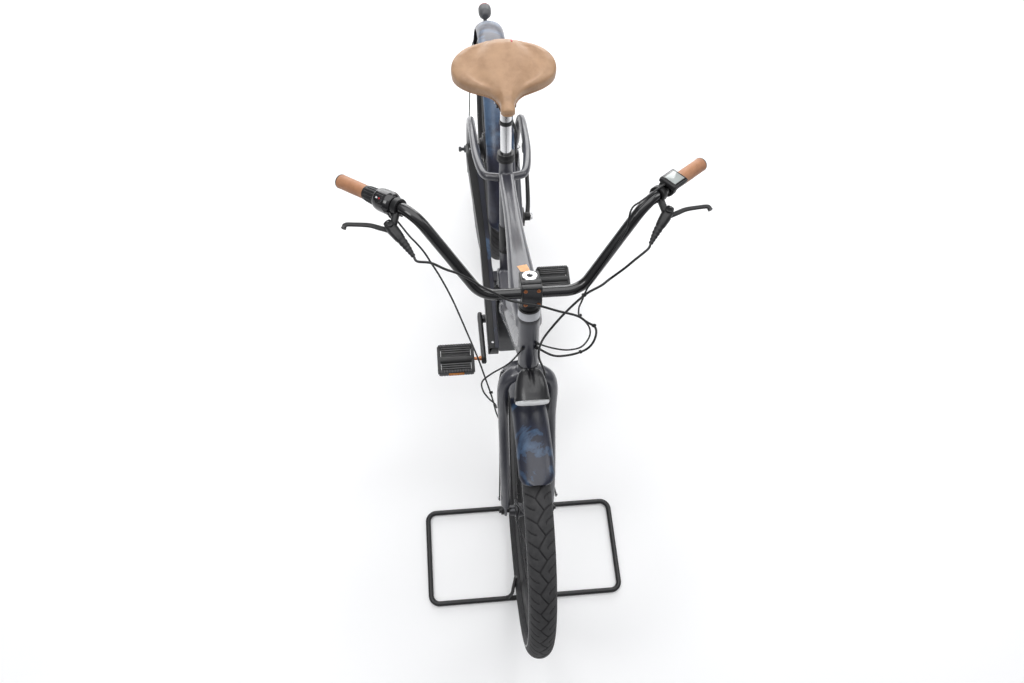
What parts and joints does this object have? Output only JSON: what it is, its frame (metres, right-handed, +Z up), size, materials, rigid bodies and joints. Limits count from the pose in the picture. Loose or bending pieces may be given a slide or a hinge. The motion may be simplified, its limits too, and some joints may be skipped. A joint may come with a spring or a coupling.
{
  "type": "electric cruiser bicycle",
  "caption": "Electric cruiser bicycle with swept handlebar, wide saddle, mudguards, chain case and drive unit, front wheel held in a tubular floor stand.",
  "frame": {"origin": "on the floor, under the middle of the whole object's length, in the bicycle's mid plane", "axes": "+Z up, -Y toward the front wheel, +X toward the rider's left"},
  "size_m": [0.7372, 1.9, 1.1504],
  "materials": {
    "matte_navy": "matte dark navy paint",
    "cloud_blue": "navy paint with mottled blue pattern",
    "charcoal": "matte dark grey plastic",
    "black_metal": "satin black",
    "black_plastic": "satin black plastic",
    "tyre": "dark grey tyre rubber",
    "alloy": "satin alloy",
    "steel": "bright steel",
    "leather": "tan leather",
    "clear_lens": "clear ribbed lens",
    "red_lens": "red lens",
    "hose": "black hose"
  },
  "bodies": {
    "frame": {"main_frame": "matte_navy", "rear_stays": "matte_navy", "motor": "charcoal", "battery": "charcoal", "seatpost": "steel", "seat_collar": "black_metal", "saddle": "leather", "saddle_frame": "black_metal", "rear_mudguard": "cloud_blue", "rear_guard_stay": "steel", "tail_lamp": "charcoal", "tail_lens": "red_lens", "chain_guard": "matte_navy", "chain": "steel", "rear_axle": "steel", "hub_actuator": "charcoal", "kickstand_bracket": "charcoal", "rear_caliper": "black_metal"},
    "steering": {"fork": "matte_navy", "front_axle": "steel", "front_mudguard": "cloud_blue", "front_guard_stay": "steel", "stem": "black_metal", "display": "black_plastic", "headlamp": "black_plastic", "headlamp_lens": "clear_lens", "floor_stand": "black_metal", "steerer_cap": "alloy", "headset_cone": "black_metal", "handlebar": "black_metal", "grip_left": "leather", "grip_right": "leather", "twist_shifter": "black_plastic", "brake_lever_left": "black_metal", "brake_lever_right": "black_metal", "front_caliper": "black_metal", "hose_front": "hose", "hose_rear": "hose", "gear_cable": "hose", "display_cable": "hose", "wiring_loop": "hose"},
    "front_wheel": {"front_tyre": "tyre", "front_wheel": "alloy", "front_disc": "steel"},
    "rear_wheel": {"rear_tyre": "tyre", "rear_wheel": "alloy", "rear_disc": "steel", "sprocket": "steel"},
    "crank": {"crankset": "black_metal", "chainring": "black_metal"},
    "pedal_right": {"pedal_right": "black_plastic"},
    "pedal_left": {"pedal_left": "black_plastic"},
    "kickstand": {"kickstand": "black_metal"}
  },
  "joints": [
    {"name": "steering", "type": "hinge", "parent": "frame", "child": "steering", "pos_m": [0, -0.39765, 0.762], "axis": [0, 0.342, 0.9397], "range_deg": [-45, 45]},
    {"name": "front_wheel_spin", "type": "hinge", "parent": "steering", "child": "front_wheel", "pos_m": [0, -0.6, 0.35], "axis": [1, 0, 0], "continuous": true},
    {"name": "rear_wheel_spin", "type": "hinge", "parent": "frame", "child": "rear_wheel", "pos_m": [0, 0.56, 0.35], "axis": [1, 0, 0], "continuous": true},
    {"name": "crank_spin", "type": "hinge", "parent": "frame", "child": "crank", "pos_m": [0, -0.015, 0.288], "axis": [1, 0, 0], "continuous": true},
    {"name": "pedal_right_spin", "type": "hinge", "parent": "crank", "child": "pedal_right", "pos_m": [-0.155, -0.17262, 0.35168], "axis": [1, 0, 0], "continuous": true},
    {"name": "pedal_left_spin", "type": "hinge", "parent": "crank", "child": "pedal_left", "pos_m": [0.155, 0.14262, 0.22432], "axis": [1, 0, 0], "continuous": true},
    {"name": "kickstand_fold", "type": "hinge", "parent": "frame", "child": "kickstand", "pos_m": [0.09, 0.335, 0.29], "axis": [1, 0, 0], "range_deg": [-95, 0]}
  ]
}
